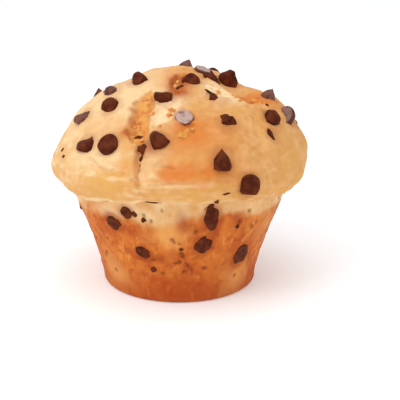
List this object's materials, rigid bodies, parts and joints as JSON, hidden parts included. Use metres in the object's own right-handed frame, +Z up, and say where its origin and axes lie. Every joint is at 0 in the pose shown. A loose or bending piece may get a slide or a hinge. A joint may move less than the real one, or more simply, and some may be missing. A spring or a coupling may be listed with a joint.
{
  "type": "chocolate chip muffin",
  "caption": "Domed chocolate chip muffin with no paper case, on a tapered base with a flat foot, its crown split and studded with chips.",
  "frame": {"origin": "middle of the flat foot that the muffin stands on", "axes": "+Z up to the summit of the crown, -Y out of the shown side with the long split in its crown, +X to the right of whoever looks at that side"},
  "size_m": [0.0894, 0.0917, 0.0794],
  "materials": {
    "dough": "matte",
    "chocolate": "satin"
  },
  "bodies": {
    "root": {"muffin": "dough", "chip_back_25": "chocolate", "chip_back_26": "chocolate", "chip_back_27": "chocolate", "chip_back_28": "chocolate", "chip_back_29": "chocolate", "chip_back_30": "chocolate", "chip_back_31": "chocolate", "chip_back_32": "chocolate", "chip_back_33": "chocolate", "chip_back_34": "chocolate", "chip_back_35": "chocolate", "chip_back_36": "chocolate", "chip_back_37": "chocolate", "chip_back_38": "chocolate", "chip_back_39": "chocolate", "chip_back_40": "chocolate", "chip_back_41": "chocolate", "chip_back_42": "chocolate", "chip_front_01": "chocolate", "chip_front_02": "chocolate", "chip_front_03": "chocolate", "chip_front_04": "chocolate", "chip_front_05": "chocolate", "chip_front_06": "chocolate", "chip_front_07": "chocolate", "chip_front_08": "chocolate", "chip_front_09": "chocolate", "chip_front_10": "chocolate", "chip_front_11": "chocolate", "chip_front_12": "chocolate", "chip_front_13": "chocolate", "chip_front_14": "chocolate", "chip_front_15": "chocolate", "chip_front_16": "chocolate", "chip_front_17": "chocolate", "chip_front_18": "chocolate", "chip_front_19": "chocolate", "chip_front_20": "chocolate", "chip_front_21": "chocolate", "chip_front_22": "chocolate", "chip_front_23": "chocolate", "chip_front_24": "chocolate", "chip_wall_01": "chocolate", "chip_wall_02": "chocolate", "chip_wall_03": "chocolate", "chip_wall_04": "chocolate", "chip_wall_05": "chocolate", "chip_wall_06": "chocolate", "chip_wall_07": "chocolate", "chip_wall_08": "chocolate", "chip_wall_09": "chocolate", "chip_wall_10": "chocolate", "chip_wall_11": "chocolate", "chip_wall_12": "chocolate"}
  },
  "joints": []
}
